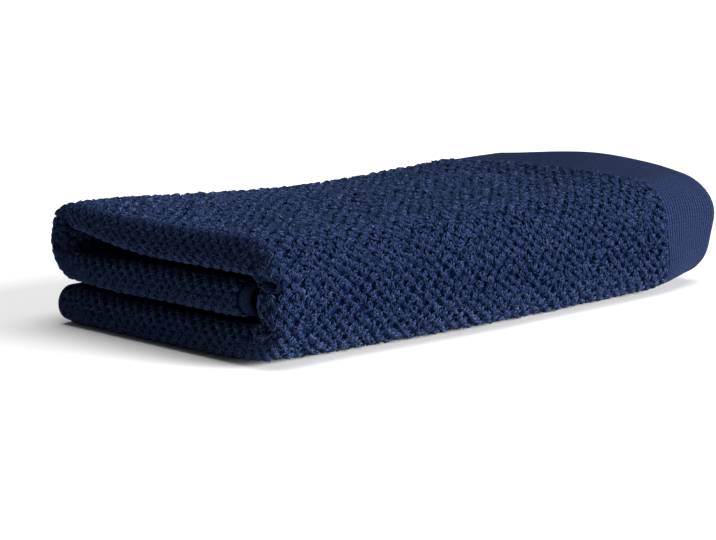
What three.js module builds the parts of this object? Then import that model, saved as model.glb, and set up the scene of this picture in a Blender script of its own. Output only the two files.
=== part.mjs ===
// A cotton terry bath towel, folded in thirds along its length and then in thirds across
// its width, and laid down. It is one piece of cloth, so it is one closed solid.
//
// Millimetres, +Z up, underside on Z = 0. +X runs along the folded towel from its rounded
// noses to its woven band, and +Y from the broad spine to the narrow fold.
//
// The first folding makes a bundle of three layers: the outer layer ends in the band, the
// inner layer turns back at the nose, and the tucked layer lies between them. The second
// folding carries that bundle along the panels: the bottom panel, the spine, the top
// panel, the narrow fold and the middle panel, which is tucked in.

import * as THREE from 'three';

// The towel as woven
const CLOTH_LENGTH = 1400;
const CLOTH_WIDTH = 700;
const TERRY_THICKNESS = 7.6;
const BAND_THICKNESS = 3.8;
const BAND_WIDTH = 80;
const SIDE_HEM_THICKNESS = 4.4;
const SIDE_HEM_WIDTH = 11;
const PILE_STEP = 3; // width over which the loops rise from a band or hem

// The two foldings
const LAYER_GAP = 1.3;
const PANEL_GAP = 2.8;
const BAND_CURL = THREE.MathUtils.degToRad(110); // how far the band rolls over the end
const BAND_CURL_RADIUS = 11.9;
const TUCKED_LAYER_CLEARANCE = 2; // between its free edge and the turn of the nose
const SPINE_LOWER_RADIUS = 15;
const SPINE_UPPER_RADIUS = 21;
const BOTTOM_PANEL_INSET = 12; // how far its free edge lies inside the narrow fold
const MIDDLE_PANEL_CLEARANCE = 4; // between its free edge and the inside of the spine

// How it lies. Each swell or dip raises the cloth at and above its level, a share of the
// stack's height, and fades to nothing at its reach. Each lifted corner raises the
// underside and leaves the top. The spine's lower half bellies out between its ends, the
// narrow fold is drawn in at the noses, and the lower layers fall short under the band.
const SWELLS = [
  { what: 'crown over the band', rise: 10, level: 1, x: 232, xReach: 120, y: -5, yReach: 130 },
  { what: 'dip of the narrow fold', rise: -6, level: 1, x: 5, xReach: 190, y: 110, yReach: 120 },
  { what: 'puffed free edge', rise: 3, level: 0.3, x: -215, xReach: 90, y: 105, yReach: 70 },
  { what: 'droop of the spine', rise: -6, level: 1, x: 245, xReach: 65, y: -125, yReach: 65 },
];
const LIFTED_CORNERS = [
  { what: 'under the nose', rise: 4, x: -236, xReach: 60, y: -121, yReach: 60 },
  { what: 'under the band', rise: 4, x: 240, xReach: 75, y: -121, yReach: 150 },
];
const BELLY = { bulge: 13, from: -200, full: -20, fullTo: 165, to: 240, height: 62, depth: 90 };
const NARROW_FOLD_DRAW = { draw: 11, from: -120, full: -228, depth: 60 };
const LOWER_LAYERS_DRAW = { draw: 15, from: 40, full: 236, height: 75 };

// The narrow fold stands open at the noses, round a hollow that thins the top panel and,
// by the lower share of that, the middle panel
const FOLD_HOLLOW = { opening: 8.5, lowerShare: 0.6, from: -50, full: -226, width: 92 };

// How finely the long runs and the folds are divided
const RUN_STEP = 36;
const RISE_STEP = 11;
const CURL_STEPS = 5;
const NOSE_STEPS = 8;
const TURN_STEPS = 6;
const CORNER_STEPS = 5;
const NARROW_FOLD_STEPS = 10;

// Worked out from the sizes above
const LAYER_PITCH = TERRY_THICKNESS + LAYER_GAP;
const BUNDLE_THICKNESS = 2 * LAYER_PITCH + TERRY_THICKNESS;
const PANEL_PITCH = BUNDLE_THICKNESS + PANEL_GAP;
const STACK_HEIGHT = 2 * PANEL_PITCH + BUNDLE_THICKNESS;
const NARROW_FOLD_RADIUS = PANEL_PITCH / 2;
const SPINE_RISE = 2 * PANEL_PITCH - SPINE_LOWER_RADIUS - SPINE_UPPER_RADIUS;
const HALF_BUNDLE = BUNDLE_THICKNESS / 2;

// What each layer's flat run leaves of the folded length, and the folded length that uses
// up the cloth's whole length
const TURN_RADIUS = LAYER_PITCH / 2;
const NOSE_REACH = LAYER_PITCH + TERRY_THICKNESS / 2;
const CURL_REACH = BAND_CURL_RADIUS + BAND_THICKNESS / 2;
const TURN_REACH = BAND_THICKNESS + LAYER_GAP + TERRY_THICKNESS / 2 + TURN_RADIUS;
const LAYER_ENDS = {
  outer: CURL_REACH + NOSE_REACH,
  inner: TURN_REACH + NOSE_REACH,
  tucked: TURN_REACH + NOSE_REACH + TUCKED_LAYER_CLEARANCE,
};
const CURL_LENGTH = BAND_CURL * BAND_CURL_RADIUS;
const LAYER_RUNS = CLOTH_LENGTH - CURL_LENGTH - Math.PI * (LAYER_PITCH + TURN_RADIUS);
const FOLDED_LENGTH = (LAYER_RUNS + LAYER_ENDS.outer + LAYER_ENDS.inner + LAYER_ENDS.tucked) / 3;

// The same for each panel and the folded width
const PANEL_ENDS = {
  bottom: BOTTOM_PANEL_INSET + HALF_BUNDLE + SPINE_LOWER_RADIUS,
  top: 2 * HALF_BUNDLE + SPINE_UPPER_RADIUS + NARROW_FOLD_RADIUS,
  middle: 3 * HALF_BUNDLE + NARROW_FOLD_RADIUS + MIDDLE_PANEL_CLEARANCE,
};
const SPINE_LENGTH = (Math.PI / 2) * (SPINE_LOWER_RADIUS + SPINE_UPPER_RADIUS) + SPINE_RISE;
const PANEL_RUNS = CLOTH_WIDTH - SPINE_LENGTH - Math.PI * NARROW_FOLD_RADIUS;
const FOLDED_WIDTH = (PANEL_RUNS + PANEL_ENDS.bottom + PANEL_ENDS.top + PANEL_ENDS.middle) / 3;

const NAVY_TERRY = new THREE.MeshStandardMaterial({ color: 0x27335c, roughness: 0.95, metalness: 0 });

// Distances along a straight run, about a step apart, without its start
function stations(length, step) {
  const count = Math.max(1, Math.round(length / step));
  return Array.from({ length: count }, (_, i) => (length * (i + 1)) / count);
}

// The same where the run starts, or ends, with a strip of given width and its pile step
function stationsAfterStrip(length, strip) {
  const start = strip + PILE_STEP;
  return [strip, start, ...stations(length - start, RUN_STEP).map((distance) => start + distance)];
}

function stationsBeforeStrip(length, strip) {
  const end = length - strip;
  return [...stations(end - PILE_STEP, RUN_STEP), end, length];
}

// A soft step from 0 to 1, and a soft bell from 1 at its middle to 0 at its reach
function softStep(value, from, to) {
  const t = Math.min(Math.max((value - from) / (to - from), 0), 1);
  return t * t * (3 - 2 * t);
}

function bell(distance, reach) {
  return 1 - softStep(Math.abs(distance), 0, reach);
}

function bellOver(x, y, swell) {
  return bell(x - swell.x, swell.xReach) * bell(y - swell.y, swell.yReach);
}

// A route of straight runs and arcs in a plane, as points with a heading and a distance
class Route {
  constructor(x, y, heading) {
    this.points = [{ x, y, heading, distance: 0 }];
  }

  last() {
    return this.points[this.points.length - 1];
  }

  // Go straight on, with points at the given distances from the start of the run
  straight(distances) {
    const start = this.last();
    for (const length of distances) {
      this.points.push({
        x: start.x + length * Math.cos(start.heading),
        y: start.y + length * Math.sin(start.heading),
        heading: start.heading,
        distance: start.distance + length,
      });
    }
    return this;
  }

  // Turn left by a positive angle, or right by a negative one, along an arc
  turn(radius, angle, steps) {
    const start = this.last();
    const side = Math.sign(angle);
    const centreX = start.x - side * radius * Math.sin(start.heading);
    const centreY = start.y + side * radius * Math.cos(start.heading);
    for (let i = 1; i <= steps; i += 1) {
      const heading = start.heading + (angle * i) / steps;
      this.points.push({
        x: centreX + side * radius * Math.sin(heading),
        y: centreY - side * radius * Math.cos(heading),
        heading,
        distance: start.distance + (radius * Math.abs(angle) * i) / steps,
      });
    }
    return this;
  }
}

// The cloth's middle surface through the bundle: x is along the towel and y is outwards
// from the bundle's own middle
function layerRoute() {
  const startAngle = Math.PI / 2 - BAND_CURL;
  const startX = FOLDED_LENGTH / 2 - CURL_REACH + BAND_CURL_RADIUS * Math.cos(startAngle);
  const startY = LAYER_PITCH - BAND_CURL_RADIUS * (1 - Math.sin(startAngle));
  return new Route(startX, startY, Math.PI - BAND_CURL)
    .turn(BAND_CURL_RADIUS, BAND_CURL, CURL_STEPS)
    .straight(stationsAfterStrip(FOLDED_LENGTH - LAYER_ENDS.outer, BAND_WIDTH - CURL_LENGTH))
    .turn(LAYER_PITCH, Math.PI, NOSE_STEPS)
    .straight(stations(FOLDED_LENGTH - LAYER_ENDS.inner, RUN_STEP))
    .turn(TURN_RADIUS, Math.PI, TURN_STEPS)
    .straight(stationsBeforeStrip(FOLDED_LENGTH - LAYER_ENDS.tucked, BAND_WIDTH)).points;
}

// How thick the cloth is at a distance along it, on a side hem or away from one
function clothThickness(distance, onSideHem) {
  const toEnd = Math.min(distance, CLOTH_LENGTH - distance);
  const plain = toEnd < BAND_WIDTH + PILE_STEP / 2 ? BAND_THICKNESS : TERRY_THICKNESS;
  return onSideHem ? Math.min(plain, SIDE_HEM_THICKNESS) : plain;
}

// The cut face of the bundle: both sides of the cloth, joined round its two ends
function bundleSection(onSideHem) {
  const route = layerRoute();
  const offset = (point, forward, left) => {
    const thickness = clothThickness(point.distance, onSideHem);
    const cos = Math.cos(point.heading);
    const sin = Math.sin(point.heading);
    return new THREE.Vector2(
      point.x + thickness * (forward * cos - left * sin),
      point.y + thickness * (forward * sin + left * cos),
    );
  };
  const roundEnd = 1 / 3;
  return [
    offset(route[0], -roundEnd, 0),
    ...route.map((point) => offset(point, 0, -1 / 2)),
    offset(route[route.length - 1], roundEnd, 0),
    ...route.map((point) => offset(point, 0, 1 / 2)).reverse(),
  ];
}

// The bundle's middle from the bottom panel's free edge to the middle panel's: x is the
// part's Y and y is its Z
function panelRoute() {
  return new Route(FOLDED_WIDTH / 2 - BOTTOM_PANEL_INSET, HALF_BUNDLE, Math.PI)
    .straight(stationsAfterStrip(FOLDED_WIDTH - PANEL_ENDS.bottom, SIDE_HEM_WIDTH))
    .turn(SPINE_LOWER_RADIUS, -Math.PI / 2, CORNER_STEPS)
    .straight(stations(SPINE_RISE, RISE_STEP))
    .turn(SPINE_UPPER_RADIUS, -Math.PI / 2, CORNER_STEPS)
    .straight(stations(FOLDED_WIDTH - PANEL_ENDS.top, RUN_STEP))
    .turn(NARROW_FOLD_RADIUS, -Math.PI, NARROW_FOLD_STEPS)
    .straight(stationsBeforeStrip(FOLDED_WIDTH - PANEL_ENDS.middle, SIDE_HEM_WIDTH)).points;
}

// Push a point of the evenly folded towel away from the hollow in the narrow fold, most
// where it lines the hollow and not at all on the outside of the fold
function aroundHollow(x, y, z) {
  const hollow = FOLD_HOLLOW;
  const foldY = FOLDED_WIDTH / 2 - HALF_BUNDLE - NARROW_FOLD_RADIUS;
  const foldZ = HALF_BUNDLE + 1.5 * PANEL_PITCH;
  const awayY = Math.max(y - foldY, 0);
  const awayZ = z - foldZ;
  const away = Math.hypot(awayY, awayZ);
  const lining = Math.max(1 - (away - PANEL_GAP / 2) / BUNDLE_THICKNESS, 0);
  const along = softStep(-x, -hollow.from, -hollow.full);
  const across = 1 - softStep(foldY - y, 0, hollow.width);
  const upwards = (1 + awayZ / away) / 2;
  const share = hollow.lowerShare + (1 - hollow.lowerShare) * upwards;
  const push = (hollow.opening * along * across * share * lining) / away;
  return [y + push * awayY, z + push * awayZ];
}

// Let a point of the evenly folded towel settle to where it lies
function settled(x, evenY, evenZ) {
  const [y, z] = aroundHollow(x, evenY, evenZ);
  const nearSide = -FOLDED_WIDTH / 2;
  const farSide = FOLDED_WIDTH / 2;
  const height = z / STACK_HEIGHT;
  let rise = 0;
  for (const swell of SWELLS) {
    rise += swell.rise * Math.min(height / swell.level, 1) * bellOver(x, y, swell);
  }
  for (const corner of LIFTED_CORNERS) {
    rise += corner.rise * Math.max(1 - height, 0) * bellOver(x, y, corner);
  }

  const bellied = softStep(x, BELLY.from, BELLY.full) * (1 - softStep(x, BELLY.fullTo, BELLY.to));
  const bellyDepth = 1 - softStep(y, nearSide, nearSide + BELLY.depth);
  const bulge = BELLY.bulge * bellied * bellyDepth * bell(z, BELLY.height);

  const fold = NARROW_FOLD_DRAW;
  const drawn = softStep(-x, -fold.from, -fold.full) * softStep(y, farSide - fold.depth, farSide);
  const foldDraw = fold.draw * drawn;
  const lower = LOWER_LAYERS_DRAW;
  const lowerDraw = lower.draw * softStep(x, lower.from, lower.full) * bell(z, lower.height);
  return [x - lowerDraw, y - bulge - foldDraw, z + rise];
}

// Faces that close a cut face, whose corners go round the cloth from tip to tip and back:
// each joins the two sides across the cloth's thickness
function cutFace(sides) {
  const farTip = sides / 2;
  const faces = [];
  for (let near = 0; near < farTip; near += 1) {
    const opposite = (sides - near) % sides;
    if (near > 0) faces.push([near, near + 1, opposite]);
    if (near + 1 < farTip) faces.push([near + 1, sides - near - 1, opposite]);
  }
  return faces;
}

// Carry the bundle's cut face along the panels as one closed body
function foldedTowel() {
  const terrySection = bundleSection(false);
  const hemSection = bundleSection(true);
  const route = panelRoute();
  const rows = route.length;
  const sides = terrySection.length;

  const positions = route.flatMap((point, row) => {
    const onHem = row < 2 || row >= rows - 2;
    return (onHem ? hemSection : terrySection).flatMap((corner) => {
      const y = point.x - corner.y * Math.sin(point.heading);
      const z = point.y + corner.y * Math.cos(point.heading);
      return settled(corner.x, y, z);
    });
  });

  const faces = [];
  for (let row = 0; row < rows - 1; row += 1) {
    for (let side = 0; side < sides; side += 1) {
      const next = (side + 1) % sides;
      const a = row * sides + side;
      const b = row * sides + next;
      faces.push(a, a + sides, b, b, a + sides, b + sides);
    }
  }
  const lastRow = (rows - 1) * sides;
  for (const [a, b, c] of cutFace(sides)) {
    faces.push(a, b, c, lastRow + a, lastRow + c, lastRow + b);
  }

  const geometry = new THREE.BufferGeometry();
  geometry.setAttribute('position', new THREE.Float32BufferAttribute(positions, 3));
  geometry.setIndex(faces);

  // The origin is under the middle of the towel as it lies
  geometry.computeBoundingBox();
  const middle = geometry.boundingBox.getCenter(new THREE.Vector3());
  geometry.translate(-middle.x, -middle.y, 0);
  geometry.computeVertexNormals();
  return geometry;
}

const towel = new THREE.Mesh(foldedTowel(), NAVY_TERRY);
towel.name = 'folded_towel';

const part = new THREE.Group();
part.add(towel);

export default part;
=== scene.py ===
"""A navy cotton bath towel, folded in thirds both ways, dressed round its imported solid.

Everything is in metres, +Z up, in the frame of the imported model: +X runs along the folded
towel from its rounded noses to its woven band, and +Y from the broad spine to the narrow
fold. A place on the cloth is given as it was woven: along its length, across its width,
and a lift from its middle towards its outer face.
"""

import math

import bpy
import numpy as np
from bpy.props import FloatProperty, FloatVectorProperty, IntProperty, PointerProperty
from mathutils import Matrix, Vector


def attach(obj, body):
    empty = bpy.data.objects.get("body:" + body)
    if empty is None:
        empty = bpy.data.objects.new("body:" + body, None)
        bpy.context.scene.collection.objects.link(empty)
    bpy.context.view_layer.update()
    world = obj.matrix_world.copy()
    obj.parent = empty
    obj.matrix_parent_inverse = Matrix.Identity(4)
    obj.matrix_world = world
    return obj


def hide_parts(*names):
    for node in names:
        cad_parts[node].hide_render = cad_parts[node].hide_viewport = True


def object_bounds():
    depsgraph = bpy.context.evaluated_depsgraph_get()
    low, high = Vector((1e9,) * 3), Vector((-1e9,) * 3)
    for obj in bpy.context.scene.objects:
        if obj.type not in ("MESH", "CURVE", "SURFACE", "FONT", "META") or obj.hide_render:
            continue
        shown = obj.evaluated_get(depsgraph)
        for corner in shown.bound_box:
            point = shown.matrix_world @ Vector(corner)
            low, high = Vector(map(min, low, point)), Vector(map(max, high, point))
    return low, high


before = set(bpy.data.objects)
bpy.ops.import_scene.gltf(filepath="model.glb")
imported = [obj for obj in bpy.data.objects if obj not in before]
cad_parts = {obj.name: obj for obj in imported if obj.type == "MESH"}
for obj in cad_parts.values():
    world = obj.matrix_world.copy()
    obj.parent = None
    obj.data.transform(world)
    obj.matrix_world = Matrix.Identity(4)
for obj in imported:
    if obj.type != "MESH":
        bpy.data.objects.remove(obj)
CAD_LOW, CAD_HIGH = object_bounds()

bl_info = {
    "name": "Folded bath towel",
    "version": (1, 0, 0),
    "blender": (4, 5, 0),
    "location": "View3D > Sidebar > Towel",
    "description": "Weaves, folds and lights a terry bath towel",
    "category": "Object",
}

MM = 0.001
CLOTH_NODE = "folded_towel"

# How the towel was folded, as in its solid
LAYER_GAP = 1.3 * MM
PANEL_GAP = 2.8 * MM
BAND_CURL = math.radians(110)
BAND_CURL_RADIUS = 11.9 * MM
TUCKED_LAYER_CLEARANCE = 2 * MM
SPINE_LOWER_RADIUS = 15 * MM
SPINE_UPPER_RADIUS = 21 * MM
BOTTOM_PANEL_INSET = 12 * MM
MIDDLE_PANEL_CLEARANCE = 4 * MM
# Width over which the loops rise from a band or hem
PILE_STEP = 3 * MM
# Samples along and across the cloth by which it is centred on its solid
CENTRING_SAMPLES = (400, 300)

# How it lies, as in its solid, in millimetres. Each swell has a rise, the share of the stack's
# height from which it is full, and its middle and reach along X and Y; each lifted corner has
# the same without the share
SWELLS = (
    # rise, level, x, x reach, y, y reach
    (10, 1.0, 232, 120, -5, 130),  # crown over the band
    (-6, 1.0, 5, 190, 110, 120),  # dip of the narrow fold
    (3, 0.3, -215, 90, 105, 70),  # puffed free edge
    (-6, 1.0, 245, 65, -125, 65),  # droop of the spine
)
LIFTED_CORNERS = (
    # rise, x, x reach, y, y reach
    (4, -236, 60, -121, 60),  # under the nose
    (4, 240, 75, -121, 150),  # under the band
)
# The spine's belly, the narrow fold drawn in towards the noses, the lower layers drawn back
# under the band, and the hollow in the narrow fold
BELLY = {"bulge": 13 * MM, "from": -200 * MM, "full": -20 * MM, "full_to": 165 * MM, "to": 240 * MM}
BELLY_HEIGHT = 62 * MM
BELLY_DEPTH = 90 * MM
NARROW_FOLD_DRAW = {"draw": 11 * MM, "from": -120 * MM, "full": -228 * MM, "depth": 60 * MM}
LOWER_LAYERS_DRAW = {"draw": 15 * MM, "from": 40 * MM, "full": 236 * MM, "height": 75 * MM}
FOLD_HOLLOW = {"opening": 8.5 * MM, "lower": 0.6, "from": -50 * MM, "full": -226 * MM, "width": 92 * MM}
# Nearest that a point counts to the hollow's middle
HOLLOW_NEAREST = 0.1 * MM

# Main creases: the cloth is pushed in or out along each line, and less and less up to its
# reach, in millimetres
CREASES = (
    # line from x, y, z, to x, y, z, push in x, y, z, reach
    ((-236, -96, 34), (-235, -112, 21), (10, 0, 1), 9),  # where the nose meets the spine's foot
    ((-236, -98, 57), (-233, -110, 54), (12, 0, 0), 9),  # pocket behind the spine's top
    ((-238, -88, 58), (-236, -112, 80), (6, 1, -1), 11),  # mitre of the nose at the spine's top
    ((-238, 96, 80), (-233, 99, 54), (9, -1, 0), 10),  # trough beside the narrow fold
    ((-238, 102, 82), (-232, 112, 80), (-2.5, 2, 3.5), 16),  # square corner of the top nose
)

# The rims of the cloth: how far its sides round out and its ends do, for the thickness of the
# hem and the band, and how much of its own thickness a side keeps at its very edge
SIDE_ROUNDING = 0.35
END_ROUNDING = 1 / 3
EDGE_THICKNESS = 0.45
# How far in from the noses the cloth's mesh is fine
FINE_INTO_NOSES = 40 * MM
# Weaves of the cloth, in the order of its materials
GROUND, BAND, HEM = range(3)

# Zones of the pile's rows, along the cloth
FACE, NOSE, INNER, TURN = range(4)
# How far the pile goes on where the folds hide the rest of it
PILE_INTO_NOSES = 42 * MM
PILE_BEFORE_TURN = 26 * MM
PILE_PAST_NARROW_FOLD = 26 * MM
PILE_BEFORE_NOSES = 16 * MM
# A nub with this share of its room or more always stands, and fewer and fewer do with less
ROOM_TO_STAND = 0.5
# Limits of how far a nub closes up or spreads with its room
ROOM_LIMITS = (0.45, 1.2)
# The slow waves that the rows stray by, and their spans in millimetres
STRAY_WAVES = 6
STRAY_SPANS = (22, 70)

# The strands that a nub shows: where their middles lie, in half pitches from its own, how
# high they reach, and how they head from the towel's length, in degrees
NUB_STRANDS = (
    # along, across, height, heading, its scatter
    (0.42, 0.42, 0.80, -41, 25),
    (-0.42, 0.42, 0.80, 41, 25),
    (-0.42, -0.42, 0.80, -41, 25),
    (0.42, -0.42, 0.80, 41, 25),
    (0.34, 0.10, 0.88, 80, 40),
    (-0.34, -0.10, 0.88, 80, 40),
    (0.10, -0.38, 0.90, 110, 40),
    (-0.10, 0.38, 0.90, 110, 40),
    (0.20, -0.18, 0.95, 90, 45),
    (-0.20, 0.18, 0.95, 90, 45),
    (0.10, 0.08, 1.02, 65, 50),
    (-0.08, -0.06, 1.02, 115, 50),
)
# The foot of a nub's loops
# Painted shade: standing at half the relief, the foot takes a colour close to the ground's dark one
NUB_FOOT = ((0, 0, 0.5, 0, 12),)
FOOT_LUMP = {"Yarn Length": 7.8 * MM, "Yarn Width": 6.6 * MM, "Yarn Height": 3.2 * MM}
# Where the towel rests on it, a nub is pressed to one low lump
PRESSED_NUB = ((0, 0, 1, 0, 10),)
PRESSED_LUMP = {"Yarn Length": 9.6 * MM, "Yarn Width": 8.6 * MM, "Yarn Height": 2.2 * MM}
# Sides of a loop or stitch and of a lump, and the rings of each, few because there are so many
LOOP_SIDES = 3
LUMP_SIDES = 4
YARN_RINGS = 3
# How uneven the nubs are: their places, their heights, their strands' places in half pitches,
# and how far the strands tilt for the scatter of their heading
NUB_SCATTER = 0.65 * MM
HEIGHT_SCATTER = 0.07
STRAND_SCATTER = 0.1
TILT_SHARE = 0.2
# Round the noses and turns the bent ground draws the nubs into line: they have this share of
# all that
NOSE_UNEVENNESS = 0.35
# Painted shade and light by height: a strand is darkened to the ground's colour up to one height in the
# nub, has the full dye this far above, and is painted lighter than the dye higher still, within the
# limits;
# the scatter is a random tone
SHADE_FROM = 0.45
SHADE_RANGE = 0.5
SHADE_SCATTER = 0.2
SHADE_LIMITS = (0.1, 1.6)

# The hem at the band's end, how far the side hems' stitches go on in under the noses, and how
# unlike the stitches are
END_HEM_WIDTH = 14 * MM
STITCHES_REACH_IN = 25 * MM
STITCH_UNEVENNESS = 0.1

# What cotton yarn sends back at its surface: hardly a gloss, and a faint blue sheen from the
# fibres of its loops, fainter still on the band
COTTON_GLOSS = 0.05
LOOP_SHEEN = 0.1
BAND_SHEEN = 0.06
SHEEN_TINT = (0.3, 0.45, 0.85, 1)
# Plies of a loop's yarn, their turns along a strand, how deep it is between them, and how much shade is
# painted there
PLIES = 2
PLY_TURNS = 1
PLY_DEPTH = 0.15 * MM
PLY_CONTRAST = 0.45
# Grain of the plain weave, drawn as coarse as it needs to show, and how far its dye varies
GRAIN = 2.4 * MM
DYE_UNEVENNESS = 2.0
# How the band's ribs stray, in radians, over what length, and how deep they are
RIB_UNEVENNESS = 4.0
SLUB = 1.6 * MM
RIB_DEPTH = 0.6 * MM
# The pitch and height of the band's picks for those of its ribs, and the shade and light painted over
# them: darker in the grooves, lighter on the crests
PICK_SHARE = 0.6
PICK_HEIGHT = 0.4
WEAVE_CONTRAST = 0.5
WEAVE_SHADE = 0.9

# How far the floor reaches each way
FLOOR_REACH = 20.0
# Where each light is seen, by its heading from +X and its height, and how wide it is, in degrees
KEY_SEEN = (-60, 8)
KEY_SPREAD = 42
TOP_SEEN = (0, 83)
TOP_SPREAD = 55
# Where the camera stands, and the heading and height it looks towards, in degrees
CAMERA_PLACE = (-1.1185, -1.0740, 0.2950)
CAMERA_AIM = (45.04, -9.99)


def soft_step(value, start, full):
    """0 up to start, 1 from full on, and a smooth step between them"""
    t = np.clip((value - start) / (full - start), 0, 1)
    return t * t * (3 - 2 * t)


def bell(distance, reach):
    """1 at no distance, falling smoothly to 0 at the reach"""
    return 1 - soft_step(np.abs(distance), 0, reach)


def bell_over(x, y, where):
    """A bell over a place, given by its middle and reach along X and Y in millimetres"""
    at_x, reach_x, at_y, reach_y = where
    return bell(x - at_x * MM, reach_x * MM) * bell(y - at_y * MM, reach_y * MM)


class Route:
    """Straight runs and arcs in a plane, one after the other, followed by distance"""

    def __init__(self, x, y, heading):
        self.end = (0.0, x, y, heading)
        self.pieces = []

    def add(self, length, curvature):
        self.pieces.append((*self.end, curvature))
        x, y, heading = (float(value[0]) for value in self.at(np.array([self.end[0] + length])))
        self.end = (self.end[0] + length, x, y, heading)
        return self

    def straight(self, length):
        return self.add(length, 0.0)

    def turn(self, radius, angle):
        return self.add(radius * abs(angle), math.copysign(1 / radius, angle))

    def starts(self):
        """Distances at which the pieces start, and that of the end"""
        return [piece[0] for piece in self.pieces] + [self.end[0]]

    def at(self, distance):
        """Where the route is at each distance, and its heading there"""
        table = np.array(self.pieces)
        index = np.clip(np.searchsorted(table[:, 0], distance, "right") - 1, 0, len(table) - 1)
        start, x, y, heading, curvature = np.moveaxis(table[index], -1, 0)
        gone = distance - start
        turned = heading + curvature * gone
        bent = np.abs(curvature) > 0
        safe = np.where(bent, curvature, 1)
        step_x = np.where(bent, (np.sin(turned) - np.sin(heading)) / safe, gone * np.cos(heading))
        step_y = np.where(bent, (np.cos(heading) - np.cos(turned)) / safe, gone * np.sin(heading))
        return x + step_x, y + step_y, turned


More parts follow.
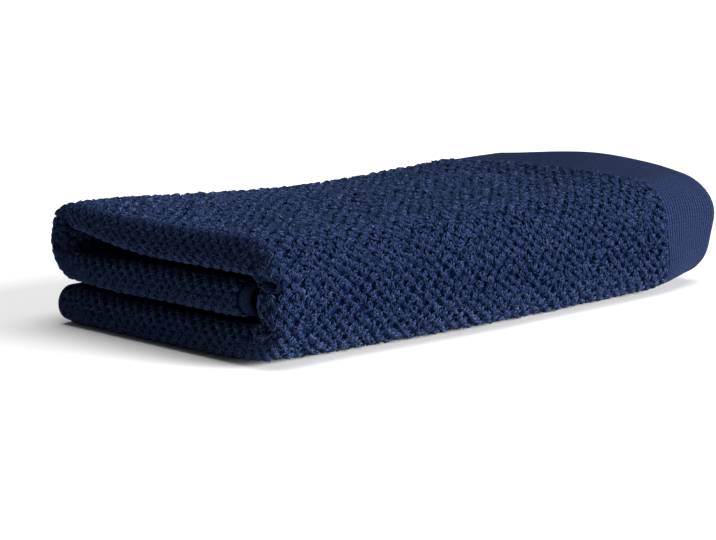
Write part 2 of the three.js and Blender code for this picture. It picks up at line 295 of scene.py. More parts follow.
class FoldedCloth:
    """The two foldings of a cloth of given size and thickness"""

    def __init__(self, cloth):
        self.length = cloth.cloth_length
        self.width = cloth.cloth_width
        self.terry = cloth.terry_thickness
        self.band = cloth.band_thickness
        self.band_width = cloth.band_width
        self.hem = cloth.hem_thickness
        self.hem_width = cloth.hem_width
        self.layer_pitch = self.terry + LAYER_GAP
        self.bundle = 2 * self.layer_pitch + self.terry
        self.panel_pitch = self.bundle + PANEL_GAP
        self.stack = 2 * self.panel_pitch + self.bundle
        self.layers = self.fold_lengthwise()
        self.panels = self.fold_across()
        self.centre = np.zeros(3)

    def fold_lengthwise(self):
        """The cloth's middle surface in its bundle of three layers"""
        half_terry = self.terry / 2
        turn = self.layer_pitch / 2
        nose_reach = self.layer_pitch + half_terry
        curl_reach = BAND_CURL_RADIUS + self.band / 2
        turn_reach = self.band + LAYER_GAP + half_terry + turn
        outer = curl_reach + nose_reach
        inner = turn_reach + nose_reach
        tucked = inner + TUCKED_LAYER_CLEARANCE
        runs = self.length - BAND_CURL * BAND_CURL_RADIUS - math.pi * (self.layer_pitch + turn)
        self.folded_length = (runs + outer + inner + tucked) / 3
        start = math.pi / 2 - BAND_CURL
        start_x = self.folded_length / 2 - curl_reach + BAND_CURL_RADIUS * math.cos(start)
        start_y = self.layer_pitch - BAND_CURL_RADIUS * (1 - math.sin(start))
        route = Route(start_x, start_y, math.pi - BAND_CURL)
        route.turn(BAND_CURL_RADIUS, BAND_CURL).straight(self.folded_length - outer)
        route.turn(self.layer_pitch, math.pi).straight(self.folded_length - inner)
        return route.turn(turn, math.pi).straight(self.folded_length - tucked)

    def fold_across(self):
        """The bundle's middle: bottom panel, spine, top panel, narrow fold, middle panel"""
        half = self.bundle / 2
        fold_radius = self.panel_pitch / 2
        rise = 2 * self.panel_pitch - SPINE_LOWER_RADIUS - SPINE_UPPER_RADIUS
        spine = math.pi / 2 * (SPINE_LOWER_RADIUS + SPINE_UPPER_RADIUS) + rise
        bottom = BOTTOM_PANEL_INSET + half + SPINE_LOWER_RADIUS
        top = 2 * half + SPINE_UPPER_RADIUS + fold_radius
        middle = 3 * half + fold_radius + MIDDLE_PANEL_CLEARANCE
        runs = self.width - spine - math.pi * fold_radius
        self.folded_width = (runs + bottom + top + middle) / 3
        route = Route(self.folded_width / 2 - BOTTOM_PANEL_INSET, half, math.pi)
        route.straight(self.folded_width - bottom)
        route.turn(SPINE_LOWER_RADIUS, -math.pi / 2).straight(rise)
        route.turn(SPINE_UPPER_RADIUS, -math.pi / 2).straight(self.folded_width - top)
        return route.turn(fold_radius, -math.pi).straight(self.folded_width - middle)

    def off_edges(self, along, across):
        """How clear each place is of the bands, and of the side hems: 0 on them, 1 in the pile"""
        to_end = np.minimum(along, self.length - along)
        to_side = np.minimum(across, self.width - across)
        off_band = soft_step(to_end, self.band_width, self.band_width + PILE_STEP)
        return off_band, soft_step(to_side, self.hem_width, self.hem_width + PILE_STEP)

    def half_thickness(self, along, across):
        """Half the cloth's thickness: terry, or the flatter weave of a band or side hem"""
        off_band, off_hem = self.off_edges(along, across)
        plain = self.band + (self.terry - self.band) * off_band
        return (plain + np.minimum(self.hem - plain, 0) * (1 - off_hem)) / 2

    def around_hollow(self, x, y, z):
        """Push points away from the hollow in the narrow fold"""
        fold_y = self.folded_width / 2 - self.bundle / 2 - self.panel_pitch / 2
        fold_z = self.bundle / 2 + 1.5 * self.panel_pitch
        away_y = np.maximum(y - fold_y, 0)
        away_z = z - fold_z
        away = np.maximum(np.hypot(away_y, away_z), HOLLOW_NEAREST)
        hollow = FOLD_HOLLOW
        lining = np.clip(1 - (away - PANEL_GAP / 2) / self.bundle, 0, 1)
        along = soft_step(-x, -hollow["from"], -hollow["full"])
        across = 1 - soft_step(fold_y - y, 0, hollow["width"])
        share = hollow["lower"] + (1 - hollow["lower"]) * (1 + away_z / away) / 2
        push = hollow["opening"] * along * across * share * lining / away
        return y + push * away_y, z + push * away_z

    def settled(self, x, y, z):
        """Let points of the evenly folded towel settle to where they lie"""
        y, z = self.around_hollow(x, y, z)
        height = z / self.stack
        rise = np.zeros_like(z)
        for swell, level, *where in SWELLS:
            rise += swell * MM * np.minimum(height / level, 1) * bell_over(x, y, where)
        for lift, *where in LIFTED_CORNERS:
            rise += lift * MM * np.maximum(1 - height, 0) * bell_over(x, y, where)
        bellied = soft_step(x, BELLY["from"], BELLY["full"])
        bellied = bellied * (1 - soft_step(x, BELLY["full_to"], BELLY["to"]))
        near_side = -self.folded_width / 2
        depth = 1 - soft_step(y, near_side, near_side + BELLY_DEPTH)
        bulge = BELLY["bulge"] * bellied * depth * bell(z, BELLY_HEIGHT)
        narrow = NARROW_FOLD_DRAW
        far_side = self.folded_width / 2
        drawn = soft_step(-x, -narrow["from"], -narrow["full"])
        drawn = narrow["draw"] * drawn * soft_step(y, far_side - narrow["depth"], far_side)
        lower = LOWER_LAYERS_DRAW
        short = lower["draw"] * soft_step(x, lower["from"], lower["full"]) * bell(z, lower["height"])
        return np.stack([x - short, y - bulge - drawn, z + rise], axis=-1)

    def creased(self, points):
        """Push points in or out along the main creases"""
        moved = points.copy()
        for start, end, push, reach in CREASES:
            start, end, push = (np.array(value) * MM for value in (start, end, push))
            line = end - start
            share = np.clip((points - start) @ line / (line @ line), 0, 1)
            distance = np.linalg.norm(points - start - share[..., None] * line, axis=-1)
            moved += push * bell(distance, reach * MM)[..., None]
        return moved

    def place(self, along, across, lift):
        """Where a place on the cloth lies, lifted from its middle towards its outer face"""
        along, across, lift = np.broadcast_arrays(along, across, lift)
        x, out, heading = self.layers.at(along)
        x = x + lift * np.sin(heading)
        out = out - lift * np.cos(heading)
        y, z, turned = self.panels.at(across)
        y = y - out * np.sin(turned)
        z = z + out * np.cos(turned)
        return self.creased(self.settled(x, y, z) - self.centre)

    def spans(self, along, across, lift, step):
        """How a place moves from a step before it to a step past it, along and across"""
        ahead = self.place(along + step, across, lift) - self.place(along - step, across, lift)
        aside = self.place(along, across + step, lift) - self.place(along, across - step, lift)
        return ahead, aside

    def axes(self, along, across, lift):
        """The directions along the cloth, across it and out of it at each place"""
        ahead, aside = self.spans(along, across, lift, step=0.25 * MM)
        out = np.cross(aside, ahead)
        out /= np.linalg.norm(out, axis=-1, keepdims=True)
        ahead /= np.linalg.norm(ahead, axis=-1, keepdims=True)
        return ahead, np.cross(ahead, out), out


def fold_cloth(cloth):
    """The folded cloth, centred as its solid is"""
    fold = FoldedCloth(cloth)
    along = np.linspace(0, fold.length, CENTRING_SAMPLES[0])[:, None]
    across = np.linspace(0, fold.width, CENTRING_SAMPLES[1])[None, :]
    lift = fold.half_thickness(along, across)
    points = fold.place(along, across, lift).reshape(-1, 3)
    middle = (points.min(0) + points.max(0)) / 2
    solid = (np.array(CAD_LOW) + np.array(CAD_HIGH)) / 2
    fold.centre = np.array([middle[0] - solid[0], middle[1] - solid[1], 0])
    return fold


def linear(hex_colour):
    """An sRGB hex colour as linear red, green and blue"""
    shares = [int(hex_colour[i : i + 2], 16) / 255 for i in (1, 3, 5)]
    return [s / 12.92 if s <= 0.04045 else ((s + 0.055) / 1.055) ** 2.4 for s in shares]


def length_property(name, description, default):
    return FloatProperty(name=name, description=description, default=default, min=0, unit="LENGTH")


def strength_property(name, description, default):
    return FloatProperty(name=name, description=description, default=default, min=0)


def colour_property(name, description, hex_colour):
    return FloatVectorProperty(
        name=name, description=description, default=linear(hex_colour), subtype="COLOR", min=0, max=1
    )


class TowelClothSettings(bpy.types.PropertyGroup):
    """The towel as it was woven and hemmed"""

    cloth_length: length_property("Length", "Length of the towel laid flat", 1400 * MM)
    cloth_width: length_property("Width", "Width of the towel laid flat", 700 * MM)
    terry_thickness: length_property("Terry", "Thickness of the terry with its loops", 7.6 * MM)
    band_thickness: length_property("Band", "Thickness of the flat woven bands", 3.8 * MM)
    band_width: length_property("Band width", "Width of the band across each short end", 80 * MM)
    hem_thickness: length_property("Side hem", "Thickness of the side hems", 4.4 * MM)
    hem_width: length_property("Side hem width", "Width of the side hems", 5.5 * MM)
    rib_pitch: length_property("Rib pitch", "From one rib of a band to the next", 3 * MM)
    yarn: colour_property("Yarn", "Colour of the dyed yarn", "#303f60")
    # The ground has a colour far darker than the yarn's: painted shade in the pits between the nubs. It is
    # also the dark end of the painted shade on the strands and in the band's grooves, and of the random
    # tone of the plain weaves
    ground: colour_property("Ground", "Colour of the ground between the loops", "#020e2e")
    band_colour: colour_property("Band colour", "Colour of the flat woven band", "#16203c")
    hem_colour: colour_property("Hem colour", "Colour of the plain side hems", "#10172a")


class TowelPileSettings(bpy.types.PropertyGroup):
    """The nubs of loops, in rows with every other row half a pitch on"""

    pitch_along: length_property("Pitch along", "From nub to nub along the towel", 10.4 * MM)
    pitch_across: length_property("Pitch across", "From nub to nub across the towel", 9.2 * MM)
    wander: length_property("Wander", "How far the rows of nubs stray", 1.1 * MM)
    relief: length_property("Relief", "How far the nubs stand over the ground", 3.9 * MM)
    loop_length: length_property("Loop length", "Length of a loop as it lies", 4.6 * MM)
    loop_width: length_property("Loop width", "Width of a loop as it lies", 1.35 * MM)
    loop_height: length_property("Loop height", "Height of a loop as it lies", 1.8 * MM)
    unevenness: FloatProperty(
        name="Unevenness",
        description="How unlike the loops are",
        default=0.2,
        min=0,
        max=1,
        subtype="FACTOR",
    )
    seed: IntProperty(name="Seed", description="Which uneven pile it is", default=11, min=0)


class TowelStitchSettings(bpy.types.PropertyGroup):
    """The sewing of the hems"""

    stitch_pitch: length_property("Stitch pitch", "From one stitch to the next", 3.2 * MM)
    stitch_length: length_property("Stitch length", "Length of a stitch", 2.5 * MM)
    thread: length_property("Thread", "Thickness of the sewing thread", 0.5 * MM)
    inset: length_property("Inset", "From the hem's inner edge to its stitches", 2 * MM)
    thread_colour: colour_property("Thread colour", "Colour of the sewing thread", "#16203c")


class TowelStageSettings(bpy.types.PropertyGroup):
    """The floor, the lights and the camera"""

    floor_colour: colour_property("Floor", "Colour of the pale floor", "#f2f2f2")
    sky_strength: strength_property("Sky", "Strength of the even light", 0.1)
    top_strength: strength_property("Top", "Strength of the light above", 2.6)
    key_strength: strength_property("Key", "Strength of the key light", 13.6)
    lens: FloatProperty(name="Lens", description="Focal length", default=108.0, min=1, unit="CAMERA")


def add_node(tree, kind, settings=None, inputs=None):
    """Add a node with its settings; an input is linked to a socket or given a value"""
    node = tree.nodes.new(kind)
    for name, value in (settings or {}).items():
        setattr(node, name, value)
    for name, value in (inputs or {}).items():
        if isinstance(value, bpy.types.NodeSocket):
            tree.links.new(value, node.inputs[name])
        else:
            node.inputs[name].default_value = value
    return node


def new_material(name):
    """A material without nodes, and its tree"""
    material = bpy.data.materials.new(name)
    material.use_nodes = True
    material.node_tree.nodes.clear()
    return material, material.node_tree


def finish_material(tree, inputs):
    """Give a material its surface, with these inputs, and its output"""
    surface = add_node(tree, "ShaderNodeBsdfPrincipled", inputs=inputs)
    add_node(tree, "ShaderNodeOutputMaterial", inputs={"Surface": surface.outputs["BSDF"]})


def wave(tree, distance, pitch, offset):
    """A wave between -1 and 1 of the given pitch, moved on by an offset in radians"""
    turns = add_node(
        tree,
        "ShaderNodeMath",
        {"operation": "MULTIPLY_ADD"},
        {0: distance, 1: math.tau / pitch, 2: offset},
    )
    return add_node(tree, "ShaderNodeMath", {"operation": "SINE"}, {0: turns.outputs[0]}).outputs[0]


def dyed(tree, dark, light, share):
    """A colour between dark and light, by share"""
    inputs = {"Factor": share, "A": (*dark, 1), "B": (*light, 1)}
    settings = {"data_type": "RGBA", "clamp_factor": False}
    return add_node(tree, "ShaderNodeMix", settings, inputs).outputs["Result"]


def loop_cotton(cloth):
    """Dyed cotton loops: two-ply yarn with shade painted between its plies, each strand painted darker low
    in its nub and lighter at its crown, and a soft sheen from its fibres
    """
    material, tree = new_material("dyed cotton terry loops")
    round_yarn = add_node(tree, "ShaderNodeUVMap", {"uv_map": "yarn"})
    apart = add_node(tree, "ShaderNodeSeparateXYZ", inputs={0: round_yarn.outputs["UV"]})
    round_plies = add_node(
        tree, "ShaderNodeMath", {"operation": "MULTIPLY"}, {0: apart.outputs["X"], 1: PLIES * math.tau}
    )
    plies = wave(tree, apart.outputs["Y"], 1 / PLY_TURNS, round_plies.outputs[0])
    # The painted shade and light of each strand by its height in the nub, with its random tone
    shade = add_node(tree, "ShaderNodeAttribute", {"attribute_name": "shade"})
    # Painted shade in the grooves between the plies
    ply_shade = add_node(
        tree,
        "ShaderNodeMath",
        {"operation": "MULTIPLY_ADD"},
        {0: plies, 1: PLY_CONTRAST, 2: 1 - PLY_CONTRAST},
    )
    share = add_node(
        tree, "ShaderNodeMath", {"operation": "MULTIPLY"}, {0: shade.outputs["Fac"], 1: ply_shade.outputs[0]}
    )
    bump = add_node(
        tree, "ShaderNodeBump", inputs={"Strength": 0.7, "Distance": PLY_DEPTH, "Height": plies}
    )
    finish_material(
        tree,
        {
            "Base Color": dyed(tree, cloth.ground, cloth.yarn, share.outputs[0]),
            "Roughness": 0.95,
            "Specular IOR Level": COTTON_GLOSS,
            "Sheen Weight": LOOP_SHEEN,
            "Sheen Tint": SHEEN_TINT,
            "Normal": bump.outputs["Normal"],
        },
    )
    return material


def plain_cotton(cloth, name, colour):
    """Plain woven cotton: matt, uneven in its dye and its grain"""
    material, tree = new_material(name)
    place = add_node(tree, "ShaderNodeTexCoord").outputs["Object"]
    weave = add_node(
        tree, "ShaderNodeTexNoise", inputs={"Vector": place, "Scale": 1 / GRAIN, "Detail": 2.0}
    )
    share = add_node(
        tree, "ShaderNodeMath", {"operation": "MULTIPLY"}, {0: weave.outputs["Fac"], 1: DYE_UNEVENNESS}
    )
    bump = add_node(
        tree,
        "ShaderNodeBump",
        inputs={"Strength": 1.0, "Distance": GRAIN / 2, "Height": weave.outputs["Fac"]},
    )
    finish_material(
        tree,
        {
            "Base Color": dyed(tree, cloth.ground, colour, share.outputs[0]),
            "Roughness": 0.95,
            "Specular IOR Level": COTTON_GLOSS,
            "Normal": bump.outputs["Normal"],
        },
    )
    return material


def band_cotton(cloth):
    """The flat woven band: smoother and paler than the loops, ribbed along the short edge"""
    material, tree = new_material("dyed cotton ribbed band")
    laid_flat = add_node(tree, "ShaderNodeUVMap", {"uv_map": "cloth"})
    apart = add_node(tree, "ShaderNodeSeparateXYZ", inputs={0: laid_flat.outputs["UV"]})
    slubs = add_node(
        tree,
        "ShaderNodeTexNoise",
        inputs={"Vector": laid_flat.outputs["UV"], "Scale": 1 / SLUB, "Detail": 3.0},
    )
    uneven = add_node(
        tree, "ShaderNodeMath", {"operation": "MULTIPLY"}, {0: slubs.outputs["Fac"], 1: RIB_UNEVENNESS}
    )
    ribs = wave(tree, apart.outputs["X"], cloth.rib_pitch, uneven.outputs[0])
    picks = wave(tree, apart.outputs["Y"], cloth.rib_pitch * PICK_SHARE, uneven.outputs[0])
    weave = add_node(
        tree, "ShaderNodeMath", {"operation": "MULTIPLY_ADD"}, {0: picks, 1: PICK_HEIGHT, 2: ribs}
    )
    # Painted shade in the grooves between ribs and picks, and painted light on their crests
    share = add_node(
        tree,
        "ShaderNodeMath",
        {"operation": "MULTIPLY_ADD"},
        {0: weave.outputs[0], 1: WEAVE_CONTRAST, 2: WEAVE_SHADE},
    )
    bump = add_node(
        tree, "ShaderNodeBump", inputs={"Strength": 1.0, "Distance": RIB_DEPTH, "Height": weave.outputs[0]}
    )
    finish_material(
        tree,
        {
            "Base Color": dyed(tree, cloth.ground, cloth.band_colour, share.outputs[0]),
            "Roughness": 0.9,
            "Specular IOR Level": COTTON_GLOSS,
            "Sheen Weight": BAND_SHEEN,
            "Sheen Tint": SHEEN_TINT,
            "Normal": bump.outputs["Normal"],
        },
    )
    return material


def sewing_thread(stitches):
    """Polyester sewing thread: smooth, with a slight gloss"""
    material, tree = new_material("polyester sewing thread")
    finish_material(tree, {"Base Color": (*stitches.thread_colour, 1), "Roughness": 0.55})
    return material


def new_piece(name, data):
    """An object at the origin, in the scene"""
    piece = bpy.data.objects.new(name, data)
    bpy.context.scene.collection.objects.link(piece)
    return piece


def piece_on_towel(piece):
    """Let a piece ride with the towel"""
    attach(piece, "root")


def yarn_tree():
    """Geometry Nodes that stand a rounded piece of yarn on each point, turned as it says"""
    tree = bpy.data.node_groups.new("yarn on points", "GeometryNodeTree")
    tree.interface.new_socket("Geometry", in_out="INPUT", socket_type="NodeSocketGeometry")
    for name in ("Yarn Length", "Yarn Width", "Yarn Height", "Unevenness"):
        tree.interface.new_socket(name, in_out="INPUT", socket_type="NodeSocketFloat")
    for name in ("Sides", "Seed"):
        tree.interface.new_socket(name, in_out="INPUT", socket_type="NodeSocketInt")
    tree.interface.new_socket("Material", in_out="INPUT", socket_type="NodeSocketMaterial")
    tree.interface.new_socket("Geometry", in_out="OUTPUT", socket_type="NodeSocketGeometry")
    given = add_node(tree, "NodeGroupInput").outputs
    lay, out = (
        add_node(tree, "GeometryNodeInputNamedAttribute", {"data_type": "FLOAT_VECTOR"}, {"Name": name})
        for name in ("lay", "out")
    )
    turned = add_node(
        tree,
        "FunctionNodeAxesToRotation",
        {"primary_axis": "Z", "secondary_axis": "X"},
        {"Primary Axis": lay.outputs["Attribute"], "Secondary Axis": out.outputs["Attribute"]},
    )
    whole = add_node(
        tree,
        "ShaderNodeCombineXYZ",
        inputs={"X": given["Yarn Height"], "Y": given["Yarn Width"], "Z": given["Yarn Length"]},
    )
    low, high = (
        add_node(tree, "ShaderNodeMath", {"operation": operation}, {0: 1.0, 1: given["Unevenness"]})
        for operation in ("SUBTRACT", "ADD")
    )
    drawn = add_node(
        tree,
        "FunctionNodeRandomValue",
        {"data_type": "FLOAT"},
        {2: low.outputs[0], 3: high.outputs[0], "Seed": given["Seed"]},
    )
    scale = add_node(
        tree,
        "ShaderNodeVectorMath",
        {"operation": "SCALE"},
        {0: whole.outputs["Vector"], "Scale": drawn.outputs[1]},
    )
    strand = add_node(
        tree,
        "GeometryNodeMeshUVSphere",
        inputs={"Segments": given["Sides"], "Rings": YARN_RINGS, "Radius": 0.5},
    )
    marked = add_node(
        tree,
        "GeometryNodeStoreNamedAttribute",
        {"data_type": "FLOAT2", "domain": "CORNER"},
        {"Geometry": strand.outputs["Mesh"], "Name": "yarn", "Value": strand.outputs["UV Map"]},
    )
    standing = add_node(
        tree,
        "GeometryNodeInstanceOnPoints",
        inputs={
            "Points": given["Geometry"],
            "Instance": marked.outputs["Geometry"],
            "Rotation": turned.outputs["Rotation"],
            "Scale": scale.outputs["Vector"],
        },
    )
    real = add_node(
        tree, "GeometryNodeRealizeInstances", inputs={"Geometry": standing.outputs["Instances"]}
    )
    smooth = add_node(
        tree, "GeometryNodeSetShadeSmooth", inputs={"Geometry": real.outputs["Geometry"]}
    )
    finished = add_node(
        tree,
        "GeometryNodeSetMaterial",
        inputs={"Geometry": smooth.outputs["Geometry"], "Material": given["Material"]},
    )
    add_node(tree, "NodeGroupOutput", inputs={"Geometry": finished.outputs["Geometry"]})
    return tree


def yarn_piece(name, tree, points, values, inputs):
    """One piece of yarn on the given points, made real as a plain mesh"""
    mesh = bpy.data.meshes.new(name + " points")
    mesh.vertices.add(len(points))
    mesh.vertices.foreach_set("co", np.ascontiguousarray(points, np.float32).ravel())
    for key, value in values.items():
        kind = "FLOAT_VECTOR" if value.ndim == 2 else "FLOAT"
        field = mesh.attributes.new(key, kind, "POINT").data
        field.foreach_set("vector" if value.ndim == 2 else "value", value.astype(np.float32).ravel())
    draft = new_piece(name + " draft", mesh)
    modifier = draft.modifiers.new("yarn", "NODES")
    modifier.node_group = tree
    for item in tree.interface.items_tree:
        if item.in_out == "INPUT" and item.name in inputs:
            modifier[item.identifier] = inputs[item.name]
    graph = bpy.context.evaluated_depsgraph_get()
    made = bpy.data.meshes.new_from_object(draft.evaluated_get(graph))
    bpy.data.objects.remove(draft)
    bpy.data.meshes.remove(mesh)
    made.name = name
    return new_piece(name, made)


def stations(runs):
    """Distances from 0 through runs, each given as its end and about how far apart they are"""
    found = [0.0]
    for end, step in runs:
        start = found[-1]
        count = max(1, round((end - start) / step))
        found.extend(start + (end - start) * np.arange(1, count + 1) / count)
    return np.array(found)


def cloth_stations(fold):
    """Where the cloth's mesh has its rows, along the cloth and across it"""
    outer, nose, inner, turn, tucked, end = fold.layers.starts()[1:]
    band = fold.band_width
    along = stations(
        (
            # end of a run, and how far apart its rows are
            (outer, 2.4 * MM),
            (band, 3 * MM),
            (band + PILE_STEP, PILE_STEP / 3),
            (nose, 7 * MM),
            (inner, 2 * MM),
            (inner + FINE_INTO_NOSES, 6 * MM),
            (turn, 20 * MM),
            (tucked, 1.6 * MM),
            (end - band - PILE_STEP, 20 * MM),
            (end - band, PILE_STEP / 3),
            (end, 16 * MM),
        )
    )
    hem = fold.hem_width
    lower, rise, upper, top, narrow, middle, side = fold.panels.starts()[1:]
    across = stations(
        (
            (hem, hem / 4),
            (hem + PILE_STEP, PILE_STEP / 3),
            (lower, 9 * MM),
            (rise, 2.4 * MM),
            (upper, 4 * MM),
            (top, 2.8 * MM),
            (narrow, 6 * MM),
            (middle, 2.4 * MM),
            (side - hem - PILE_STEP, 12 * MM),
            (side - hem, PILE_STEP / 3),
            (side, hem / 4),
        )
    )
    return along, across


def ring_faces(rows, sides, tip):
    """Faces between rings of corners, and over the end rings, where tip lies across from corner 0"""
    corner = np.arange(rows * sides).reshape(rows, sides)
    follower = np.roll(corner, -1, axis=1)
    walls = np.stack([corner[:-1], follower[:-1], follower[1:], corner[1:]], axis=-1).reshape(-1, 4)
    near = np.arange(1, tip - 1)
    strip = np.stack([near, sides - near, sides - near - 1, near + 1], axis=-1)
    last = (rows - 1) * sides
    quads = np.concatenate([walls, strip, last + strip[:, ::-1]])
    caps = [(0, sides - 1, 1), (tip - 1, tip + 1, tip)]
    triangles = caps + [tuple(last + i for i in reversed(face)) for face in caps]
    return quads.tolist() + triangles


def cloth_mesh(fold, pile):
    """The cloth as one closed body: outer face, end, back face, end, and both side edges"""
    along, across = cloth_stations(fold)
    beyond = np.concatenate([[-SIDE_ROUNDING], np.zeros(len(across)), [SIDE_ROUNDING]]) * fold.hem
    across = np.concatenate([[across[0]], across, [across[-1]]])
    half = fold.half_thickness(along[None, :], across[:, None])
    half[[0, -1]] *= EDGE_THICKNESS
    off_band, off_hem = fold.off_edges(along[None, :], across[:, None])
    outer = half - pile.relief * off_band * off_hem
    tip = END_ROUNDING * fold.band
    ring_along = np.concatenate([[-tip], along, [fold.length + tip], along[::-1]])
    flat = np.zeros((len(across), 1))
    ring_lift = np.concatenate([flat, outer, flat, -half[:, ::-1]], axis=1)
    points = fold.place(ring_along[None, :], (across + beyond)[:, None], ring_lift)

    mesh = bpy.data.meshes.new("towel_cloth")
    faces = ring_faces(*ring_lift.shape, tip=len(along) + 1)
    mesh.from_pydata(points.reshape(-1, 3).tolist(), [], faces)
    uv = np.stack(np.broadcast_arrays(ring_along[None, :], across[:, None]), axis=-1).reshape(-1, 2)
    at_corner = np.empty(len(mesh.loops), np.int32)
    mesh.loops.foreach_get("vertex_index", at_corner)
    layer = mesh.uv_layers.new(name="cloth")
    layer.data.foreach_set("uv", uv[at_corner].astype(np.float32).ravel())
    middle = np.array([uv[list(face.vertices)].mean(0) for face in mesh.polygons])
    off_band, off_hem = fold.off_edges(middle[:, 0], middle[:, 1])
    weave = np.full(len(middle), GROUND)
    weave[off_hem < 1] = HEM
    weave[off_band < 1] = BAND
    mesh.polygons.foreach_set("material_index", weave.astype(np.int32))
    mesh.polygons.foreach_set("use_smooth", np.ones(len(mesh.polygons), bool))
    mesh.update()
    return mesh


def evenly(marks, stretches, step):
    """Places a step of the skin apart, from mark to mark, and how far apart each two are"""
    places, gaps = [], []
    for start, end, stretch in zip(marks, marks[1:], stretches):
        count = max(1, round((end - start) * stretch / step))
        places.extend(start + (end - start) * np.arange(count) / count)
        gaps.extend([(end - start) / count] * count)
    return np.array(places), np.array(gaps)


def smooth_stray(random, along, across):
    """A stray between about -1 and 1 that changes slowly over the cloth"""
    stray = np.zeros_like(along)
    for _ in range(STRAY_WAVES):
        heading = random.uniform(0, math.tau)
        span = random.uniform(*STRAY_SPANS) * MM
        phase = random.uniform(0, math.tau)
        distance = along * math.cos(heading) + across * math.sin(heading)
        stray += np.sin(math.tau * distance / span + phase)
    return stray * 2 / STRAY_WAVES


def nub_places(fold, pile, random):
    """The nubs in rows, every other row half a pitch on, and how crowded each of them is"""
    _, nose, inner, turn, tucked, _ = fold.layers.starts()[1:]
    half_terry = fold.terry / 2
    half_along, half_across = pile.pitch_along / 2, pile.pitch_across / 2
    runs = (
        # zone, start, end, stretch of the skin
        (FACE, fold.band_width + PILE_STEP, nose, 1),
        (NOSE, nose, inner, 1 + half_terry / fold.layer_pitch),
        (INNER, inner, inner + PILE_INTO_NOSES, 1),
        (TURN, turn - PILE_BEFORE_TURN, turn, 1),
        (TURN, turn, tucked, 1 + half_terry / (fold.layer_pitch / 2)),
    )
    rows = [evenly([start, end], [stretch], half_along) for _, start, end, stretch in runs]
    zone = np.concatenate([np.full(len(row[0]), run[0]) for run, row in zip(runs, rows)])
    row_at, row_gap = (np.concatenate(values) for values in zip(*rows))

    marks = fold.panels.starts()
    marks[0] += fold.hem_width + PILE_STEP
    marks[-1] -= fold.hem_width + PILE_STEP
    skin = 1 - fold.bundle / 2 * np.array([curvature for *_, curvature in fold.panels.pieces])
    column_at, column_gap = evenly(marks, skin, half_across)

    row, column = np.nonzero((np.arange(len(row_at))[:, None] + np.arange(len(column_at))) % 2 == 0)
    along, across = row_at[row], column_at[column]
    reach = 0.5 * MM
    ahead, aside = fold.spans(along, across, half_terry - pile.relief / 2, reach)
    room_along = np.linalg.norm(ahead, axis=1) / (2 * reach) * row_gap[row] / half_along
    room_across = np.linalg.norm(aside, axis=1) / (2 * reach) * column_gap[column] / half_across
    kept = random.random(len(along)) < room_along * room_across / ROOM_TO_STAND
    stray_along = pile.wander * smooth_stray(random, along, across)
    stray_across = pile.wander * smooth_stray(random, along, across) * np.minimum(room_across, 1)
    return {
        "zone": zone[row][kept],
        "along": (along + np.where(zone[row] == FACE, stray_along, 0))[kept],
        "across": (across + stray_across)[kept],
        "room_along": np.clip(room_along, *ROOM_LIMITS)[kept],
        "room_across": np.clip(room_across, *ROOM_LIMITS)[kept],
    }


def nub_loops(fold, pile, nubs, strands, yarn, random):
    """Points of all the strands of some nubs, with their directions and shades"""
    ground = fold.terry / 2 - pile.relief
    base = fold.place(nubs["along"], nubs["across"], ground)
    ahead, aside, out = fold.axes(nubs["along"], nubs["across"], ground)
    uneven = np.where(nubs["zone"] == FACE, 1, NOSE_UNEVENNESS)

    def stray(size):
        return uneven * random.normal(0, size, len(base))

    base = base + ahead * stray(NUB_SCATTER)[:, None]
    base = base + aside * stray(NUB_SCATTER)[:, None]
    half_along = nubs["room_along"] * pile.pitch_along / 2
    half_across = nubs["room_across"] * pile.pitch_across / 2
    bold = 1 + stray(HEIGHT_SCATTER)
    half_size = np.array([yarn["Yarn Height"], yarn["Yarn Width"], yarn["Yarn Length"]]) / 2
    largest = half_size * (1 + pile.unevenness)
    made = []
    for share_along, share_across, height, heading, scatter in strands:
        sideways = half_along * (share_along + stray(STRAND_SCATTER))
        onwards = half_across * (share_across + stray(STRAND_SCATTER))
        up = pile.relief * height * bold - largest[0]
        point = base + ahead * sideways[:, None] + aside * onwards[:, None] + out * up[:, None]
        turned = np.radians(heading + stray(scatter))[:, None]
        tilt = np.radians(stray(TILT_SHARE * scatter))[:, None]
        level = ahead * np.cos(turned) + aside * np.sin(turned)
        lay = level * np.cos(tilt) + out * np.sin(tilt)
        up_axis = out * np.cos(tilt) - level * np.sin(tilt)
        side = np.cross(lay, up_axis)
        # No strand reaches under the floor
        upright = np.stack([up_axis[:, 2], side[:, 2], lay[:, 2]], axis=1)
        point[:, 2] = np.maximum(point[:, 2], np.linalg.norm(upright * largest, axis=1))
        # Painted shade and light: low strands darkened towards the ground's colour, crowns lit past the
        # dye, with a random tone on top
        shade = (height * bold - SHADE_FROM) / SHADE_RANGE + stray(SHADE_SCATTER)
        made.append((point, up_axis, lay, np.clip(shade, *SHADE_LIMITS)))
    points, outs, lays, shades = (np.concatenate(values) for values in zip(*made))
    return points, {"out": outs, "lay": lays, "shade": shades}


def stitch_rows(fold, stitches):
    """Where the stitches of the hems lie on the outer face, and how they head from its length"""
    inner = fold.layers.starts()[3]
    pitch = stitches.stitch_pitch
    inset = fold.hem_width - stitches.inset
    seen = np.arange(END_HEM_WIDTH, inner + STITCHES_REACH_IN, pitch)
    end = np.arange(inset, fold.width - inset, pitch)
    along = np.concatenate([seen, seen, np.full(len(end), END_HEM_WIDTH)])
    across = np.concatenate([np.full(len(seen), inset), np.full(len(seen), fold.width - inset), end])
    heading = np.radians(np.concatenate([np.zeros(2 * len(seen)), np.full(len(end), 90)]))
    return along, across, heading


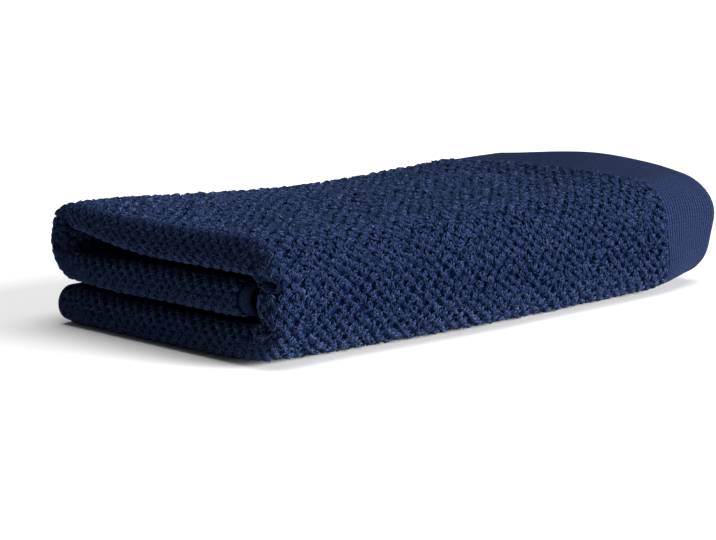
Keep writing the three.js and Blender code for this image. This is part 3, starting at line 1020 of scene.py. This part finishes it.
def set_floor(stage):
    mesh = bpy.data.meshes.new("floor")
    reach = FLOOR_REACH
    corners = [(-reach, -reach, 0), (reach, -reach, 0), (reach, reach, 0), (-reach, reach, 0)]
    mesh.from_pydata(corners, [], [(0, 1, 2, 3)])
    floor = new_piece("floor", mesh)
    material, tree = new_material("matt white board")
    finish_material(
        tree,
        {"Base Color": (*stage.floor_colour, 1), "Roughness": 0.9, "Specular IOR Level": 0.1},
    )
    mesh.materials.append(material)


def set_lights(stage):
    world = bpy.data.worlds.new("even light")
    world.use_nodes = True
    tree = world.node_tree
    tree.nodes.clear()
    # The even light is faint, but seen past the floor's end it is as white as the floor
    path = add_node(tree, "ShaderNodeLightPath")
    strength = add_node(
        tree,
        "ShaderNodeMath",
        {"operation": "MAXIMUM"},
        {0: path.outputs["Is Camera Ray"], 1: stage.sky_strength},
    )
    sky = add_node(
        tree,
        "ShaderNodeBackground",
        inputs={"Color": (1, 1, 1, 1), "Strength": strength.outputs[0]},
    )
    add_node(tree, "ShaderNodeOutputWorld", inputs={"Surface": sky.outputs["Background"]})
    bpy.context.scene.world = world
    add_soft_light("key light", stage.key_strength, KEY_SPREAD, KEY_SEEN)
    add_soft_light("top light", stage.top_strength, TOP_SPREAD, TOP_SEEN)
    bpy.context.scene.view_settings.view_transform = "Standard"


def towards(heading, height):
    """The direction with a heading from +X and a height over the floor, both in degrees"""
    heading, height = math.radians(heading), math.radians(height)
    level = math.cos(height)
    return Vector((level * math.cos(heading), level * math.sin(heading), math.sin(height)))


def add_soft_light(name, strength, spread, seen):
    """A far light seen in a direction, as wide as its spread"""
    light = bpy.data.lights.new(name, "SUN")
    light.energy = strength
    light.angle = math.radians(spread)
    lamp = new_piece(name, light)
    lamp.rotation_euler = towards(*seen).to_track_quat("Z", "Y").to_euler()


def set_camera(stage):
    lens = bpy.data.cameras.new("camera")
    lens.lens = stage.lens
    lens.sensor_width = 36
    lens.clip_end = 100
    camera = new_piece("camera", lens)
    camera.location = CAMERA_PLACE
    camera.rotation_euler = towards(*CAMERA_AIM).to_track_quat("-Z", "Y").to_euler()
    bpy.context.scene.camera = camera


class TOWEL_OT_cloth(bpy.types.Operator):
    """Weave the cloth and fold it on its solid's folds"""

    bl_idname = "towel.cloth"
    bl_label = "Fold the cloth"

    def execute(self, context):
        cloth, pile = context.scene.towel_cloth, context.scene.towel_pile
        piece = new_piece("towel_cloth", cloth_mesh(fold_cloth(cloth), pile))
        # The ground's dark colour is painted shade in the pits between the nubs
        ground = plain_cotton(cloth, "dyed cotton ground weave", cloth.ground)
        hem = plain_cotton(cloth, "dyed cotton side hem", cloth.hem_colour)
        for material in (ground, band_cotton(cloth), hem):
            piece.data.materials.append(material)
        piece_on_towel(piece)
        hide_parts(CLOTH_NODE)
        return {"FINISHED"}


class TOWEL_OT_pile(bpy.types.Operator):
    """Raise the nubs of loops wherever the pile shows"""

    bl_idname = "towel.pile"
    bl_label = "Raise the pile"

    def execute(self, context):
        cloth, pile = context.scene.towel_cloth, context.scene.towel_pile
        fold = fold_cloth(cloth)
        random = np.random.default_rng(pile.seed)
        nubs = nub_places(fold, pile, random)
        _, spine, _, _, top, narrow_fold, middle, _ = fold.panels.starts()
        shown = fold.layers.starts()[2] - PILE_BEFORE_NOSES
        along, across, zone = nubs["along"], nubs["across"], nubs["zone"]
        half_top = (top + narrow_fold) / 2
        hidden = middle + PILE_PAST_NARROW_FOLD
        face = zone == FACE
        pieces = {
            "pile_spine": face & (across >= spine) & (across < top),
            "pile_top_near": face & (across >= top) & (across < half_top),
            "pile_top_far": face & (across >= half_top) & (across < narrow_fold),
            "pile_narrow_fold": face & (across >= narrow_fold) & (across < hidden),
            "pile_noses": (zone == NOSE) | face & (across >= hidden) & (along > shown),
            "pile_in_noses": zone == INNER,
            "pile_turns": zone == TURN,
        }
        pieces["pile_feet"] = np.any(list(pieces.values()), axis=0)
        pieces["pile_underside"] = face & (across < spine)
        loop = {
            "Yarn Length": pile.loop_length,
            "Yarn Width": pile.loop_width,
            "Yarn Height": pile.loop_height,
        }
        lumps = {
            "pile_underside": (PRESSED_NUB, PRESSED_LUMP, LUMP_SIDES),
            "pile_feet": (NUB_FOOT, FOOT_LUMP, LUMP_SIDES),
        }
        tree = yarn_tree()
        material = loop_cotton(cloth)
        for order, (name, chosen) in enumerate(pieces.items()):
            strands, yarn, sides = lumps.get(name, (NUB_STRANDS, loop, LOOP_SIDES))
            some = {key: value[chosen] for key, value in nubs.items()}
            points, values = nub_loops(fold, pile, some, strands, yarn, random)
            inputs = {
                **yarn,
                "Sides": sides,
                "Unevenness": pile.unevenness,
                "Seed": pile.seed + order,
                "Material": material,
            }
            piece_on_towel(yarn_piece(name, tree, points, values, inputs))
        return {"FINISHED"}


class TOWEL_OT_stitches(bpy.types.Operator):
    """Sew the side hems and the hem at the band's end"""

    bl_idname = "towel.stitches"
    bl_label = "Sew the hems"

    def execute(self, context):
        cloth, stitches = context.scene.towel_cloth, context.scene.towel_stitches
        fold = fold_cloth(cloth)
        along, across, heading = stitch_rows(fold, stitches)
        lift = fold.half_thickness(along, across)
        ahead, aside, out = fold.axes(along, across, lift)
        lay = ahead * np.cos(heading)[:, None] + aside * np.sin(heading)[:, None]
        inputs = {
            "Yarn Length": stitches.stitch_length,
            "Yarn Width": stitches.thread,
            "Yarn Height": stitches.thread,
            "Sides": LOOP_SIDES,
            "Unevenness": STITCH_UNEVENNESS,
            "Seed": 1,
            "Material": sewing_thread(stitches),
        }
        points = fold.place(along, across, lift)
        values = {"out": out, "lay": lay}
        piece_on_towel(yarn_piece("hem_stitches", yarn_tree(), points, values, inputs))
        return {"FINISHED"}


class TOWEL_OT_stage(bpy.types.Operator):
    """Set up the pale floor, the soft light and the camera"""

    bl_idname = "towel.stage"
    bl_label = "Set the stage"

    def execute(self, context):
        stage = context.scene.towel_stage
        set_floor(stage)
        set_lights(stage)
        set_camera(stage)
        return {"FINISHED"}


class TOWEL_PT_panel(bpy.types.Panel):
    """Lists the towel's operators in the sidebar"""

    bl_idname = "TOWEL_PT_panel"
    bl_label = "Folded bath towel"
    bl_space_type = "VIEW_3D"
    bl_region_type = "UI"
    bl_category = "Towel"

    def draw(self, context):
        for operator in OPERATORS:
            self.layout.operator(operator.bl_idname)


SETTINGS = {
    "towel_cloth": TowelClothSettings,
    "towel_pile": TowelPileSettings,
    "towel_stitches": TowelStitchSettings,
    "towel_stage": TowelStageSettings,
}
OPERATORS = (TOWEL_OT_cloth, TOWEL_OT_pile, TOWEL_OT_stitches, TOWEL_OT_stage)


def register():
    for cls in (*SETTINGS.values(), *OPERATORS, TOWEL_PT_panel):
        bpy.utils.register_class(cls)
    for name, cls in SETTINGS.items():
        setattr(bpy.types.Scene, name, PointerProperty(type=cls))


def unregister():
    for name in SETTINGS:
        delattr(bpy.types.Scene, name)
    for cls in (TOWEL_PT_panel, *reversed(OPERATORS), *reversed(SETTINGS.values())):
        bpy.utils.unregister_class(cls)


def main():
    register()
    bpy.ops.towel.cloth()
    bpy.ops.towel.pile()
    bpy.ops.towel.stitches()
    bpy.ops.towel.stage()


if __name__ == "__main__":
    main()
